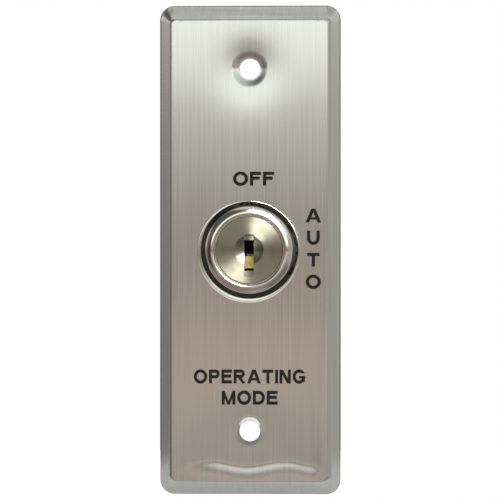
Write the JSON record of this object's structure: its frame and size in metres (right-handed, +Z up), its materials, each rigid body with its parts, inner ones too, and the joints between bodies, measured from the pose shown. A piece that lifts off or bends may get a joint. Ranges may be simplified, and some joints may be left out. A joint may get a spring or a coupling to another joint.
{
  "type": "selector key switch",
  "caption": "Narrow stamped wall plate with a key-operated selector lock that works a snap switch on a bracket behind it.",
  "frame": {"origin": "midway between the two wall screw holes, in the plane of the wall, on the plug's axis", "axes": "+Z up along the plate, +Y into the wall along the plug's axis, +X to the right of a person facing the plate"},
  "size_m": [0.0418, 0.038, 0.1128],
  "materials": {
    "brushed_stainless": "vertical brushed finish",
    "legend_ink": "matt fired ink",
    "polished_nickel": "polished nickel plate",
    "turned_nickel": "fine turned nickel silver",
    "wafer_brass": "stamped brass",
    "spring_steel": "drawn wire",
    "zinc_steel": "bright zinc plate",
    "galvanised_steel": "zinc-coated sheet",
    "cam_acetal": "machined acetal",
    "switch_phenolic": "moulded phenolic",
    "cover_phenolic": "moulded phenolic",
    "plunger_red": "moulded nylon",
    "insulating_paper": "vulcanised fibre",
    "contact_copper": "rolled beryllium copper",
    "contact_silver": "silver alloy",
    "tinned_brass": "rolled brass"
  },
  "bodies": {
    "housing": {"face_plate": "brushed_stainless", "legend_off": "legend_ink", "legend_auto": "legend_ink", "legend_function": "legend_ink", "lock_barrel": "polished_nickel", "dress_washer": "polished_nickel", "barrel_lock_washer": "zinc_steel", "barrel_nut": "zinc_steel", "switch_bracket": "galvanised_steel", "switch_insulator": "insulating_paper", "switch_case": "switch_phenolic", "switch_cover": "cover_phenolic", "lever_pivot_pin": "zinc_steel", "terminal_common": "tinned_brass", "terminal_normally_open": "tinned_brass", "terminal_normally_closed": "tinned_brass", "fixed_contact_open": "contact_silver", "fixed_contact_closed": "contact_silver", "switch_screws": "zinc_steel", "switch_nuts": "zinc_steel"},
    "plug": {"plug": "turned_nickel", "stop_washer": "zinc_steel", "switch_cam": "cam_acetal", "cam_lock_washer": "spring_steel", "cam_screw": "zinc_steel", "wafer_spring_1": "spring_steel", "wafer_spring_2": "spring_steel", "wafer_spring_3": "spring_steel", "wafer_spring_4": "spring_steel", "wafer_spring_5": "spring_steel"},
    "lever": {"switch_lever": "spring_steel"},
    "plunger": {"switch_plunger": "plunger_red"},
    "blade": {"moving_blade": "contact_copper", "moving_contact": "contact_silver", "blade_spring": "spring_steel"},
    "wafer_body_1": {"wafer_1": "wafer_brass"},
    "wafer_body_2": {"wafer_2": "wafer_brass"},
    "wafer_body_3": {"wafer_3": "wafer_brass"},
    "wafer_body_4": {"wafer_4": "wafer_brass"},
    "wafer_body_5": {"wafer_5": "wafer_brass"}
  },
  "joints": [
    {"name": "plug_turn", "type": "hinge", "parent": "housing", "child": "plug", "pos_m": [0, 0, 0], "axis": [0, 1, 0], "range_deg": [0, 90]},
    {"name": "lever_swing", "type": "hinge", "parent": "housing", "child": "lever", "pos_m": [-0.0105, 0.0227, 0.0095], "axis": [0, -1, 0], "range_deg": [0, 9.9]},
    {"name": "plunger_slide", "type": "slide", "parent": "housing", "child": "plunger", "axis": [0, 0, 1], "range_m": [0, 0.00125]},
    {"name": "blade_swing", "type": "hinge", "parent": "housing", "child": "blade", "pos_m": [-0.0085, 0.0227, 0.01615], "axis": [0, -1, 0], "range_deg": [0, 3.85]},
    {"name": "wafer_slide_1", "type": "slide", "parent": "plug", "child": "wafer_body_1", "axis": [0, 0, 1], "range_m": [0, 0.0009], "stiffness_N_per_m": 20, "springref_m": 0.0009, "deforming": ["wafer_spring_1"]},
    {"name": "wafer_slide_2", "type": "slide", "parent": "plug", "child": "wafer_body_2", "axis": [0, 0, 1], "range_m": [0, 0.0009], "deforming": ["wafer_spring_2"]},
    {"name": "wafer_slide_3", "type": "slide", "parent": "plug", "child": "wafer_body_3", "axis": [0, 0, 1], "range_m": [0, 0.0009], "deforming": ["wafer_spring_3"]},
    {"name": "wafer_slide_4", "type": "slide", "parent": "plug", "child": "wafer_body_4", "axis": [0, 0, 1], "range_m": [0, 0.0009], "deforming": ["wafer_spring_4"]},
    {"name": "wafer_slide_5", "type": "slide", "parent": "plug", "child": "wafer_body_5", "axis": [0, 0, 1], "range_m": [0, 0.0009], "deforming": ["wafer_spring_5"]}
  ],
  "couplings": [
    {"joint": "lever_swing", "follows": "plug_turn", "ratio": 0.1091},
    {"joint": "plunger_slide", "follows": "plug_turn", "m_per_rad": 0.0007767},
    {"joint": "blade_swing", "follows": "plug_turn", "ratio": 0.0422},
    {"joint": "wafer_slide_2", "follows": "wafer_slide_1", "ratio": 0.6},
    {"joint": "wafer_slide_3", "follows": "wafer_slide_1", "ratio": 1},
    {"joint": "wafer_slide_4", "follows": "wafer_slide_1", "ratio": 0.75},
    {"joint": "wafer_slide_5", "follows": "wafer_slide_1", "ratio": 0.9}
  ]
}
